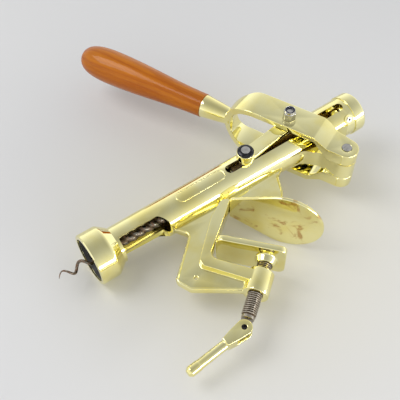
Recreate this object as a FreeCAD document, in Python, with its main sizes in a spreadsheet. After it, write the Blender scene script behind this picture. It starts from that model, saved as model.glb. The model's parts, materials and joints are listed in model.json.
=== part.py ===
import FreeCAD, Part
import math
import os

import Sketcher
from FreeCAD import Placement, Rotation, Vector

# A clamp-on lever corkscrew, lying on its side with its plane of symmetry level.
# +X runs along the barrel from the mouth of the bell to the cap, +Y points to the side where the
# lever swings, and +Z is up.  The origin is the centre of the bell's mouth.  Lengths are in mm.

SIZES = {
    # barrel, bell and cap
    "barrel_bore": 12.5,
    "barrel_radius_front": 16.0,
    "barrel_radius_back": 18.0,
    "barrel_front": 18.0,
    "barrel_back": 272.0,
    "bell_radius": 23.0,
    "bell_bore": 19.5,
    "bell_length": 24.0,
    "bell_rim": 16.5,
    "bell_throat": 14.4,
    "bell_round": 5.0,
    "bell_chamfer": 0.8,
    "bell_step": 1.0,
    "bell_neck_wall": 1.2,
    "liner_wall": 2.4,
    "liner_lip": 1.2,
    "cap_radius": 19.0,
    "cap_end": 284.0,
    "cap_plug": 6.0,
    "cap_screw_place": 265.5,
    "cap_screw_turn": 49.0,
    "cap_screw_radius": 2.5,
    "cap_round": 2.2,
    "cap_eye": 8.5,
    "cap_eye_mouth": 9.5,
    "cap_eye_chamfer": 3.0,
    "spot_rim": 2.2,
    "spot_base": 6.8,
    "spot_height": 12.0,
    "slot_start": 141.5,
    "slot_end": 263.2,
    "slot_width": 8.8,
    "window_start": 27.0,
    "window_end": 71.5,
    "window_half": 15.75,
    "window_depth": 2.5,
    "window_corner": 9.0,
    "running_gap": 0.05,
    "loose_gap": 0.4,
    # hinge of the lever
    "hinge_forward": 235.2,
    "hinge_aside": 43.1,
    "hinge_pin_radius": 4.3,
    "eye_radius": 10.5,
    "knuckle_half": 9.0,
    "eye_outer": 22.0,
    "lug_round": 9.0,
    "pin_proud": 0.4,
    # foot of the hinge lug: places forward (+) or back (-) of the hinge and aside from the axis
    "foot_aside": 6.0,
    "foot_front": 40.0,
    "foot_back": 33.0,
    "toe_front": 39.0,
    "toe_aside": 15.5,
    "flank_front": 25.0,
    "flank_front_aside": 16.5,
    "flank_back": 27.0,
    "flank_back_aside": 17.0,
    "waist_front": 14.0,
    "waist_front_aside": 28.0,
    "waist_back": 15.0,
    "waist_back_aside": 27.0,
    # lever, measured from its hinge
    "lever_angle": 115.5,
    "bolt_reach": 56.3,
    "arm_inner": 24.0,
    "arm_outer": 30.0,
    "arm_edge_near": 10.5,
    "arm_edge_far": 16.0,
    "step_start": 15.0,
    "step_end": 28.0,
    "bend_centre": 87.0,
    "ferrule_reach": 143.0,
    "ferrule_radius": 11.2,
    "stem_radius": 7.0,
    "bend_shoulder": 8.0,
    "stem_start": 26.0,
    "bend_round": 14.0,
    "butt_reach": 284.0,
    "wood_radius_mid": 14.7,
    "wood_radius_max": 16.8,
    "tang_radius": 4.0,
    "tang_length": 70.0,
    "tang_socket": 14.0,
    "bolt_radius": 3.0,
    "nut_flats": 10.0,
    "nut_height": 10.5,
    "nut_collar": 2.4,
    "insert_radius": 4.2,
    "insert_depth": 2.0,
    "insert_height": 1.6,
    # links and carriage
    "pin_place": 157.4,
    "pin_radius": 3.95,
    "pin_half": 31.0,
    "washer_radius": 7.3,
    "washer_thick": 2.0,
    "link_length": 53.9,
    "link_angle": 8.1,
    "link_half_width": 6.4,
    "link_eye_radius": 7.8,
    "link_bottom": 19.5,
    "link_top": 23.6,
    "link_boss_top": 28.6,
    "carriage_front": 13.0,
    "carriage_back": 7.5,
    "shank_radius": 4.0,
    "shank_reach": 8.0,
    # worm
    "worm_lead": 16.0,
    "worm_helix_radius": 3.3,
    "worm_wire": 1.35,
    "worm_front": 28.0,
    "worm_back": 30.0,
    "shaft_front": 28.0,
    "shaft_radius": 4.4,
    "collar_place": 139.0,
    "nut_start": 84.0,
    "nut_end": 104.0,
    "nut_bore": 5.4,
    # clamp, measured along the screw's axis and across it
    "clamp_angle": 37.36,
    "spine_outer": 84.5,
    "spine_inner": 94.0,
    "arm_bottom": 18.4,
    "arm_top": 28.4,
    "frame_half": 9.0,
    "web_half": 2.6,
    "web_round": 5.0,
    "band_round": 6.5,
    # corners of the web's outline, along the screw and across it
    "root_front": 46.0,
    "root_front_across": 40.0,
    "throat": 47.5,
    "throat_across": 60.0,
    "shoulder": 47.0,
    "shoulder_across": 70.5,
    "heel": 2.0,
    "heel_across": 74.0,
    "toe": 1.5,
    "toe_across": 88.0,
    "rib_reach": 142.0,
    "rib": 113.0,
    "rib_across": 133.5,
    "rib_middle": 127.0,
    "rib_middle_across": 126.0,
    "rib_back": 142.0,
    "rib_back_across": 127.0,
    "root_tip": 153.5,
    "root_tip_across": 131.0,
    "root_back": 152.0,
    "root_back_across": 110.0,
    "rim_hole_forward": 61.7,
    "rim_hole_aside": 64.2,
    "rim_hole_radius": 1.6,
    "screw_offset": 137.1,
    "screw_radius": 6.1,
    "boss_radius": 10.6,
    "boss_bottom": 10.5,
    "boss_top": 31.5,
    "plate_face": 84.0,
    "plate_thick": 3.0,
    "plate_radius": 32.3,
    "plate_centre": 143.5,
    "plate_neck": 12.6,
    "pad_face": 50.0,
    "pad_thick": 5.4,
    "pad_start": 95.3,
    "pad_end": 153.0,
    "pad_half": 17.0,
    "pad_corner": 6.0,
    "pad_lean": 5.0,
    "cone_radius": 9.5,
    "cone_tip": 7.4,
    "cone_height": 6.0,
    "lever_pin_place": 20.1,
    "lever_pin_radius": 2.1,
    "screw_lever_length": 51.5,
    "screw_lever_radius": 4.0,
    "screw_lever_angle": 184.5,
    "fork_half": 5.4,
    "fork_eye_radius": 6.5,
    "fork_depth": 11.0,
    "fork_length": 19.0,
    "tongue_half": 2.6,
    "tongue_back": 4.6,
    "neck_place": 8.5,
    "tip_seat": 1.9,
}

doc = FreeCAD.newDocument("LeverCorkscrew")
sheet = doc.addObject("Spreadsheet::Sheet", "Sizes")
for row, (alias, number) in enumerate(SIZES.items(), start=1):
    sheet.set(f"A{row}", alias)
    sheet.set(f"B{row}", str(number))
    sheet.setAlias(f"B{row}", alias)
doc.recompute()

X, Y, Z = Vector(1, 0, 0), Vector(0, 1, 0), Vector(0, 0, 1)


class Size:
    """A length that knows its value and the spreadsheet formula that gives it."""

    def __init__(self, value, formula):
        self.value = value
        self.formula = formula

    def _with(self, other, sign, value):
        formula = other.formula if isinstance(other, Size) else repr(float(other))
        return Size(value, f"({self.formula} {sign} {formula})")

    def __add__(self, other):
        return self._with(other, "+", self.value + number(other))

    def __sub__(self, other):
        return self._with(other, "-", self.value - number(other))

    def __mul__(self, other):
        return self._with(other, "*", self.value * number(other))

    def __truediv__(self, other):
        return self._with(other, "/", self.value / number(other))

    def __neg__(self):
        return self * -1


def number(size):
    return size.value if isinstance(size, Size) else float(size)


def size(alias):
    return Size(float(sheet.get(alias)), f"{sheet.Name}.{alias}")


S = {alias: size(alias) for alias in SIZES}
V = {alias: S[alias].value for alias in SIZES}


def bind(thing, prop, length):
    """Give a property its value now and its spreadsheet formula for later."""
    if isinstance(length, Size):
        setattr(thing, prop, length.value)
        thing.setExpression(prop, length.formula)
    else:
        setattr(thing, prop, length)


# ---------------------------------------------------------------- primitives and booleans

def cylinder(name, radius, height, start, along=Z):
    solid = doc.addObject("Part::Cylinder", name)
    bind(solid, "Radius", radius)
    bind(solid, "Height", height)
    solid.Placement = Placement(start, Rotation(Z, along))
    return solid


def cone(name, radius_low, radius_high, height, start, along=Z):
    solid = doc.addObject("Part::Cone", name)
    bind(solid, "Radius1", radius_low)
    bind(solid, "Radius2", radius_high)
    bind(solid, "Height", height)
    solid.Placement = Placement(start, Rotation(Z, along))
    return solid


def box(name, length, width, height, corner, turn=0.0):
    """A box whose lowest corner is given before it is turned about Z through the origin."""
    solid = doc.addObject("Part::Box", name)
    bind(solid, "Length", length)
    bind(solid, "Width", width)
    bind(solid, "Height", height)
    spin = Rotation(Z, turn)
    solid.Placement = Placement(spin.multVec(corner), spin)
    return solid


def hexagon(name, flats, height, start, along=Z):
    solid = doc.addObject("Part::Prism", name)
    solid.Polygon = 6
    bind(solid, "Circumradius", flats / math.sqrt(3.0))
    bind(solid, "Height", height)
    solid.Placement = Placement(start, Rotation(Z, along))
    return solid


def fuse(name, *solids):
    joined = doc.addObject("Part::MultiFuse", name)
    joined.Shapes = list(solids)
    joined.Refine = True
    return joined


def common(name, *solids):
    shared = doc.addObject("Part::MultiCommon", name)
    shared.Shapes = list(solids)
    return shared


def cut(name, solid, *tools):
    result = doc.addObject("Part::Cut", name)
    result.Base = solid
    result.Tool = tools[0] if len(tools) == 1 else fuse(name + "_tools", *tools)
    result.Refine = True
    return result


def group(name, *solids):
    """Separate solids kept together in one sub-part."""
    together = doc.addObject("Part::Compound", name)
    together.Links = list(solids)
    return together


def mirrored(name, solid):
    """The same solid on the other side of the plane of symmetry."""
    copy = doc.addObject("Part::Mirroring", name)
    copy.Source = solid
    copy.Normal = Z
    return copy


def pair(name, make):
    """A sub-part of two equal solids, one each side of the plane of symmetry."""
    upper = make(name + "_upper")
    return group(name, upper, mirrored(name + "_lower", upper))


# ---------------------------------------------------------------- bodies and sketches

def new_body(name):
    return doc.addObject("PartDesign::Body", name)


def sketch_on(body, role, name):
    sketch = body.newObject("Sketcher::SketchObject", name)
    plane = [f for f in body.Origin.OriginFeatures if f.Role == role][0]
    sketch.AttachmentSupport = [(plane, "")]
    sketch.MapMode = "FlatFace"
    return sketch


def place_point(sketch, edge, end, x, y):
    """Hold one end of a sketch edge at (x, y), following the spreadsheet where it can."""
    for kind, length in (("DistanceX", x), ("DistanceY", y)):
        index = sketch.addConstraint(Sketcher.Constraint(kind, -1, 1, edge, end, number(length)))
        if isinstance(length, Size):
            sketch.setExpression(f"Constraints[{index}]", length.formula)


def draw_polygon(sketch, points):
    count = len(points)
    spots = [Vector(number(x), number(y), 0) for x, y in points]
    edges = [sketch.addGeometry(Part.LineSegment(spots[i], spots[(i + 1) % count]))
             for i in range(count)]
    for i, edge in enumerate(edges):
        sketch.addConstraint(Sketcher.Constraint("Coincident", edge, 2, edges[(i + 1) % count], 1))
        place_point(sketch, edge, 1, *points[i])


def turned(name, profile):
    """A solid turned about +X from a profile of (place along the axis, radius) points."""
    body = new_body(name)
    sketch = sketch_on(body, "XZ_Plane", name + "_profile")
    draw_polygon(sketch, profile)
    turn = body.newObject("PartDesign::Revolution", name + "_turn")
    turn.Profile = sketch
    turn.ReferenceAxis = (sketch, ["H_Axis"])
    turn.Angle = 360.0
    body.Tip = turn
    return body


def pad_of(body, name, points, half):
    """Pad a polygon of the body's XY plane equally up and down."""
    sketch = sketch_on(body, "XY_Plane", name + "_outline")
    draw_polygon(sketch, points)
    pad = body.newObject("PartDesign::Pad", name)
    pad.Profile = sketch
    pad.SideType = "Symmetric"
    bind(pad, "Length", half * 2)
    body.Tip = pad
    return pad


def round_edges(body, name, radius, wanted):
    """Round the edges of the body's last feature whose middle passes the wanted test."""
    doc.recompute()
    base = body.Tip
    picked = []
    for index, edge in enumerate(base.Shape.Edges, start=1):
        middle = edge.valueAt((edge.FirstParameter + edge.LastParameter) / 2)
        if wanted(edge, middle):
            picked.append(f"Edge{index}")
    fillet = body.newObject("PartDesign::Fillet", name)
    fillet.Base = (base, picked)
    bind(fillet, "Radius", radius)
    body.Tip = fillet
    return fillet


def upright_at(*places):
    """A test for edges parallel to Z that stand at one of the given (x, y) places."""
    def wanted(edge, middle):
        ends = [v.Point for v in edge.Vertexes]
        if len(ends) != 2 or math.hypot(ends[0].x - ends[1].x, ends[0].y - ends[1].y) > 0.01:
            return False
        return any(math.hypot(middle.x - number(x), middle.y - number(y)) < 0.05 for x, y in places)
    return wanted


def ring_at(*rings):
    """A test for circles about X at one of the given (place, radius) pairs."""
    def wanted(edge, middle):
        curve = edge.Curve
        if not isinstance(curve, Part.Circle):
            return False
        return any(abs(middle.x - number(x)) < 0.05 and abs(curve.Radius - number(r)) < 0.05
                   for x, r in rings)
    return wanted


# ---------------------------------------------------------------- frames of reference

HINGE = Vector(V["hinge_forward"], -V["hinge_aside"], 0)
LEVER_FRAME = Placement(HINGE, Rotation(Z, V["lever_angle"]))
PIN = Vector(V["pin_place"], 0, 0)
LINK_FRAME = Placement(PIN, Rotation(Z, V["link_angle"]))
CLAMP_FRAME = Placement(Vector(0, 0, 0), Rotation(Z, V["clamp_angle"]))
CAP_SCREW_SPOT = Vector(V["cap_screw_place"], 0, 0)
CAP_SCREW_AXIS = Rotation(X, V["cap_screw_turn"]).multVec(Z)
SCREW_FRAME = CLAMP_FRAME.multiply(Placement(Vector(0, -V["screw_offset"], 0), Rotation()))
PAD_PIVOT = V["pad_thick"] + V["tip_seat"]
PAD_HINGE = Placement(Vector(V["pad_face"] - PAD_PIVOT, 0, 0), Rotation(Z, V["pad_lean"]))
PAD_FRAME = SCREW_FRAME.multiply(PAD_HINGE).multiply(Placement(Vector(PAD_PIVOT, 0, 0), Rotation()))
LEVER_PIN = SCREW_FRAME.multVec(Vector(-V["lever_pin_place"], 0, 0))
SCREW_LEVER_FRAME = Placement(LEVER_PIN, Rotation(Z, V["screw_lever_angle"]))


def barrel_envelope(name, extra=0.0):
    """The tapered outside of the barrel as one solid, for trimming what meets it."""
    length = S["barrel_back"] - S["barrel_front"]
    return cone(name, S["barrel_radius_front"] + extra, S["barrel_radius_back"] + extra, length,
                Vector(V["barrel_front"], 0, 0), X)


# ---------------------------------------------------------------- barrel group

def make_barrel():
    name = "barrel"
    outside = barrel_envelope(name + "_outside")
    lug = new_body(name + "_lug")
    reach_y = -S["hinge_aside"]
    hinge_x = S["hinge_forward"]
    flank = (hinge_x - S["flank_front"], -S["flank_front_aside"])
    waist = (hinge_x - S["waist_front"], -S["waist_front_aside"])
    waist_back = (hinge_x + S["waist_back"], -S["waist_back_aside"])
    pad_of(lug, name + "_lug_pad", [
        (hinge_x - S["foot_front"], -S["foot_aside"]),
        (hinge_x - S["toe_front"], -S["toe_aside"]),
        flank,
        waist,
        (hinge_x - S["eye_radius"], reach_y),
        (hinge_x + S["eye_radius"], reach_y),
        waist_back,
        (hinge_x + S["flank_back"], -S["flank_back_aside"]),
        (hinge_x + S["foot_back"], -S["foot_aside"]),
    ], S["knuckle_half"])
    round_edges(lug, name + "_lug_round", S["lug_round"], upright_at(flank, waist, waist_back))
    eye = cylinder(name + "_eye", S["eye_radius"], S["knuckle_half"] * 2,
                   HINGE - Z * V["knuckle_half"])
    spot = cylinder(name + "_spot", S["cap_screw_radius"] + S["spot_rim"], S["spot_height"],
                    CAP_SCREW_SPOT + CAP_SCREW_AXIS * V["spot_base"], CAP_SCREW_AXIS)
    solid = fuse(name + "_solid", outside, lug, eye, spot)
    spot_hole = cylinder(name + "_spot_hole", S["cap_screw_radius"], S["cap_radius"] * 2,
                         CAP_SCREW_SPOT, CAP_SCREW_AXIS)
    bore = cylinder(name + "_bore", S["barrel_bore"], S["cap_end"],
                    Vector(0, 0, 0), X)
    hinge_hole = cylinder(name + "_hinge_hole", S["hinge_pin_radius"], S["knuckle_half"] * 4,
                          HINGE - Z * V["knuckle_half"] * 2)
    slot = slot_tool(name + "_slot")
    window = window_tool(name + "_window")
    return cut(name, solid, bore, hinge_hole, spot_hole, slot, window)


def slot_tool(name):
    """The straight slot for the cross pin, right through both sides of the barrel."""
    tall = S["cap_radius"] * 4
    low = -2 * V["cap_radius"]
    ends = [cylinder(f"{name}_end_{index}", S["slot_width"] / 2, tall, Vector(V[place], 0, low))
            for index, place in enumerate(("slot_start", "slot_end"))]
    middle = box(name + "_middle", S["slot_end"] - S["slot_start"], S["slot_width"], tall,
                 Vector(V["slot_start"], -V["slot_width"] / 2, low))
    return fuse(name, middle, *ends)


def window_tool(name):
    """The open window behind the bell, cut from the side away from the lever."""
    body = new_body(name)
    sketch = sketch_on(body, "XZ_Plane", name + "_outline")
    draw_polygon(sketch, [
        (S["window_start"], -S["window_half"]),
        (S["window_end"], -S["window_half"]),
        (S["window_end"], S["window_half"]),
        (S["window_start"], S["window_half"]),
    ])
    pad = body.newObject("PartDesign::Pad", name + "_pad")
    pad.Profile = sketch
    bind(pad, "Length", S["cap_radius"] * 2)
    body.Tip = pad

    def far_corner(edge, middle):
        level = abs(edge.Vertexes[0].X - edge.Vertexes[-1].X) < 0.01
        return level and abs(edge.Vertexes[0].Z - edge.Vertexes[-1].Z) < 0.01 \
            and abs(middle.x - V["window_end"]) < 0.01
    round_edges(body, name + "_round", S["window_corner"], far_corner)
    body.Placement = Placement(Vector(0, -V["window_depth"], 0), Rotation())
    return body


def make_bell():
    bell = turned("bell", [
        (0.0, S["bell_bore"]),
        (0.0, S["bell_radius"] - S["bell_chamfer"]),
        (S["bell_chamfer"], S["bell_radius"]),
        (S["bell_rim"], S["bell_radius"]),
        (S["bell_length"], S["barrel_radius_front"] + S["bell_neck_wall"]),
        (S["bell_length"], S["barrel_radius_front"] + S["running_gap"] * 1.6),
        (S["barrel_front"], S["barrel_radius_front"] + S["running_gap"] * 1.6),
        (S["barrel_front"], S["bell_throat"]),
        (S["bell_rim"] - S["bell_step"], S["bell_throat"]),
        (S["bell_rim"] - S["bell_step"], S["bell_bore"]),
    ])
    round_edges(bell, "bell_round", S["bell_round"],
                ring_at((S["bell_rim"], S["bell_radius"])))
    return bell


def make_bell_liner():
    outer = S["bell_bore"] - S["running_gap"]
    inner = S["bell_bore"] - S["liner_wall"]
    back = S["bell_rim"] - S["bell_step"]
    return turned("bell_liner", [
        (S["liner_lip"], outer),
        (back, outer),
        (back, S["bell_throat"]),
        (back - 2.0, S["bell_throat"]),
        (back - 2.0, inner - 0.6),
        (S["liner_lip"] + 3.0, inner),
        (S["liner_lip"], inner + 1.4),
    ])


def make_end_cap():
    cap = turned("end_cap", [
        (S["barrel_back"] - S["cap_plug"], S["cap_eye"]),
        (S["barrel_back"] - S["cap_plug"], S["barrel_bore"] - S["running_gap"]),
        (S["barrel_back"], S["barrel_bore"] - S["running_gap"]),
        (S["barrel_back"], S["cap_radius"]),
        (S["cap_end"], S["cap_radius"]),
        (S["cap_end"], S["cap_eye_mouth"]),
        (S["cap_end"] - S["cap_eye_chamfer"], S["cap_eye"]),
    ])
    round_edges(cap, "end_cap_round", S["cap_round"],
                ring_at((S["cap_end"], S["cap_radius"])))
    return cap


def make_cap_screw():
    """A grub screw in the raised spot by the cap, with a driver socket in its outer end."""
    start = CAP_SCREW_SPOT + CAP_SCREW_AXIS * (V["barrel_bore"] + 0.8)
    length = S["barrel_radius_back"] - S["barrel_bore"] + 0.6
    screw = cylinder("cap_screw_body", S["cap_screw_radius"], length, start, CAP_SCREW_AXIS)
    socket = hexagon("cap_screw_socket", S["cap_screw_radius"] * 0.9, S["cap_screw_radius"],
                     start + CAP_SCREW_AXIS * (length.value - 1.4), CAP_SCREW_AXIS)
    return cut("cap_screw", screw, socket)


def make_worm_nut():
    return turned("worm_nut", [
        (S["nut_start"], S["nut_bore"] + 2.0),
        (S["nut_start"], S["barrel_bore"] - S["running_gap"] * 0.4),
        (S["nut_end"], S["barrel_bore"] - S["running_gap"] * 0.4),
        (S["nut_end"], S["nut_bore"]),
        (S["nut_start"] + 2.0, S["nut_bore"]),
    ])


def make_hinge_pin():
    reach = S["eye_outer"] + S["pin_proud"]
    return cylinder("hinge_pin_shank", S["hinge_pin_radius"], reach * 2, HINGE - Z * reach.value)


# ---------------------------------------------------------------- clamp frame and screw

def make_clamp_frame():
    """The web and C-shaped frame, drawn in the clamp's own directions."""
    name = "clamp_frame"
    web = new_body(name + "_web")
    screw = S["screw_offset"]
    shoulder = (S["shoulder"], -S["shoulder_across"])
    heel = (S["heel"], -S["heel_across"])
    toe = (-S["toe"], -S["toe_across"])
    rib = (S["rib"], -S["rib_across"])
    rib_middle = (S["rib_middle"], -S["rib_middle_across"])
    rib_back = (S["rib_back"], -S["rib_back_across"])
    web_points = [
        (S["root_front"], -S["root_front_across"]),
        (S["throat"], -S["throat_across"]),
        shoulder,
        heel,
        toe,
        (S["boss_bottom"] + 3.0, -screw),
        (S["arm_bottom"] + 4.0, -screw),
        (S["arm_top"] - 1.0, -S["spine_inner"] + 0.5),
        (S["plate_face"], -S["spine_inner"]),
        (S["plate_face"] + S["plate_thick"], -S["spine_inner"]),
        (S["plate_face"] + S["plate_thick"], -S["rib_reach"]),
        rib,
        rib_middle,
        rib_back,
        (S["root_tip"], -S["root_tip_across"]),
        (S["root_back"], -S["root_back_across"]),
    ]
    pad_of(web, name + "_web_pad", web_points, S["web_half"])
    round_edges(web, name + "_web_round", S["web_round"],
                upright_at(shoulder, heel, toe, rib, rib_middle, rib_back))
    web.Placement = CLAMP_FRAME

    band = new_body(name + "_band")
    band_points = [
        (S["plate_face"] + S["plate_thick"], -S["spine_outer"] - 2.0),
        (S["plate_face"] + S["plate_thick"], -S["spine_inner"]),
        (S["arm_top"], -S["spine_inner"]),
        (S["arm_top"], -screw),
        (S["arm_bottom"], -screw),
        (S["arm_bottom"] + 1.0, -S["spine_outer"] - 3.0),
        (S["plate_face"] - 18.0, -S["spine_outer"] + 1.0),
    ]
    pad_of(band, name + "_band_pad", band_points, S["frame_half"])
    round_edges(band, name + "_band_round", S["band_round"], upright_at(
        band_points[0], band_points[2], band_points[5]))
    band.Placement = CLAMP_FRAME

    boss_start = SCREW_FRAME.multVec(Vector(V["boss_bottom"], 0, 0))
    along = CLAMP_FRAME.Rotation.multVec(X)
    boss = cylinder(name + "_boss", S["boss_radius"], S["boss_top"] - S["boss_bottom"],
                    boss_start, along)
    solid = fuse(name + "_solid", web, band, boss)
    bore = cylinder(name + "_bore", S["screw_radius"] + S["running_gap"],
                    S["boss_top"] - S["boss_bottom"] + 20.0,
                    SCREW_FRAME.multVec(Vector(V["boss_bottom"] - 10.0, 0, 0)), along)
    hole = cylinder(name + "_hole", S["rim_hole_radius"], S["web_half"] * 4,
                    Vector(V["rim_hole_forward"], -V["rim_hole_aside"], -2 * V["web_half"]))
    trim_lug = cylinder(name + "_trim_lug", S["eye_radius"] + 14.0, S["knuckle_half"] * 4,
                        HINGE - Z * V["knuckle_half"] * 2)
    return cut(name, solid, barrel_envelope(name + "_trim_barrel"), bore, hole, trim_lug)


def make_clamp_plate():
    """The fixed jaw: an egg-shaped plate square to the screw, wide end away from the spine."""
    name = "clamp_plate"
    along = CLAMP_FRAME.Rotation.multVec(X)
    centre = CLAMP_FRAME.multVec(Vector(V["plate_face"], -V["plate_centre"], 0))
    disc = cylinder(name + "_disc", S["plate_radius"], S["plate_thick"], centre, along)
    span = V["plate_centre"] - V["spine_inner"]
    lean = math.asin((V["plate_radius"] - V["plate_neck"]) / span)
    body = new_body(name + "_neck")
    sketch = sketch_on(body, "YZ_Plane", name + "_neck_outline")
    touch = -S["plate_centre"] + S["plate_radius"] * math.sin(lean)
    reach = S["plate_radius"] * math.cos(lean)
    draw_polygon(sketch, [
        (-S["spine_inner"], -S["plate_neck"]),
        (-S["spine_inner"], S["plate_neck"]),
        (touch, reach),
        (touch, -reach),
    ])
    pad = body.newObject("PartDesign::Pad", name + "_neck_pad")
    pad.Profile = sketch
    bind(pad, "Length", S["plate_thick"])
    body.Tip = pad
    body.Placement = CLAMP_FRAME.multiply(Placement(Vector(V["plate_face"], 0, 0), Rotation()))
    return fuse(name, disc, body)


def make_pressure_pad():
    """The moving jaw: a loose plate that leans a little on the screw's tip, with a hollow cone."""
    name = "pressure_pad"
    body = new_body(name + "_plate")
    sketch = sketch_on(body, "YZ_Plane", name + "_outline")
    inner = S["screw_offset"] - S["pad_start"]
    outer = S["screw_offset"] - S["pad_end"]
    draw_polygon(sketch, [
        (inner, -S["pad_half"]),
        (inner, S["pad_half"]),
        (outer, S["pad_half"]),
        (outer, -S["pad_half"]),
    ])
    pad = body.newObject("PartDesign::Pad", name + "_pad")
    pad.Profile = sketch
    bind(pad, "Length", S["pad_thick"])
    body.Tip = pad

    def corner(edge, middle):
        first, last = edge.Vertexes[0], edge.Vertexes[-1]
        return abs(first.Y - last.Y) + abs(first.Z - last.Z) < 0.01
    round_edges(body, name + "_round", S["pad_corner"], corner)
    back = -V["pad_thick"]
    body.Placement = PAD_FRAME.multiply(Placement(Vector(back, 0, 0), Rotation()))
    along = PAD_FRAME.Rotation.multVec(X)
    cone_start = PAD_FRAME.multVec(Vector(back - V["cone_height"], 0, 0))
    boss = cone(name + "_cone", S["cone_tip"], S["cone_radius"], S["cone_height"], cone_start, along)
    socket = cylinder(name + "_socket", S["screw_radius"] + S["loose_gap"] * 1.5,
                      S["cone_height"] + S["tip_seat"] + S["loose_gap"] * 2, cone_start, along)
    return cut(name, fuse(name + "_solid", body, boss), socket)


def make_clamp_screw():
    """The clamping screw: a round shaft into the pad's socket and a flat tongue for its lever."""
    name = "clamp_screw"
    along = CLAMP_FRAME.Rotation.multVec(X)
    tail = V["neck_place"] - V["lever_pin_place"]
    length = S["pad_face"] - S["pad_thick"] + S["tip_seat"] + S["lever_pin_place"] - S["neck_place"]
    shaft = cylinder(name + "_shaft", S["screw_radius"], length,
                     SCREW_FRAME.multVec(Vector(tail, 0, 0)), along)
    tongue = box(name + "_tongue", S["neck_place"] + S["tongue_back"], S["screw_radius"] * 1.7,
                 S["tongue_half"] * 2, Vector(0, 0, 0))
    corner = SCREW_FRAME.multVec(Vector(-V["lever_pin_place"] - V["tongue_back"],
                                        -V["screw_radius"] * 0.85, -V["tongue_half"]))
    tongue.Placement = Placement(corner, CLAMP_FRAME.Rotation)
    hole = cylinder(name + "_hole", S["lever_pin_radius"] + S["running_gap"], S["fork_half"] * 4,
                    LEVER_PIN - Z * V["fork_half"] * 2)
    return cut(name, fuse(name + "_solid", shaft, tongue), hole)


def make_screw_lever():
    """The little lever that folds against the screw: a fork, a rod and a rounded tip."""
    name = "screw_lever"
    eye = cylinder(name + "_eye", S["fork_eye_radius"], S["fork_half"] * 2,
                   LEVER_PIN - Z * V["fork_half"])
    cheek = new_body(name + "_cheek")
    waist, neck = S["fork_half"] * 0.96, S["screw_lever_radius"] * 0.9
    pad_of(cheek, name + "_cheek_pad", [
        (0.0, -S["fork_eye_radius"]),
        (S["fork_depth"], -waist),
        (S["fork_length"], -neck),
        (S["fork_length"], neck),
        (S["fork_depth"], waist),
        (0.0, S["fork_eye_radius"]),
    ], S["fork_half"])
    cheek.Placement = SCREW_LEVER_FRAME
    radius = S["screw_lever_radius"]
    end = S["screw_lever_length"]
    rod = turned(name + "_rod", [
        (S["fork_length"] - radius, 0.0),
        (S["fork_length"] - radius, radius),
        (end - radius * 2, radius),
        (end - radius * 1.6, radius * 1.1),
        (end + radius * 0.3, radius * 1.1),
        (end + radius * 0.9, radius * 0.6),
        (end + radius * 0.9, 0.0),
    ])
    rod.Placement = SCREW_LEVER_FRAME
    slot_half = S["tongue_half"] + S["loose_gap"]
    slot = box(name + "_slot", S["fork_depth"] * 2, S["fork_half"] * 4, slot_half * 2, Vector(0, 0, 0))
    slot.Placement = SCREW_LEVER_FRAME.multiply(Placement(
        Vector(-V["fork_depth"], -2 * V["fork_half"], -slot_half.value), Rotation()))
    hole = cylinder(name + "_hole", S["lever_pin_radius"], S["fork_half"] * 4,
                    LEVER_PIN - Z * V["fork_half"] * 2)
    return cut(name, fuse(name + "_solid", eye, cheek, rod), slot, hole)


def make_lever_pin():
    length = S["fork_half"] * 2
    low = LEVER_PIN - Z * V["fork_half"]
    outer = cylinder("lever_pin_outer", S["lever_pin_radius"], length, low)
    inner = cylinder("lever_pin_inner", S["lever_pin_radius"] - 0.7, length, low)
    return cut("lever_pin", outer, inner)


# ---------------------------------------------------------------- lever

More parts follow.
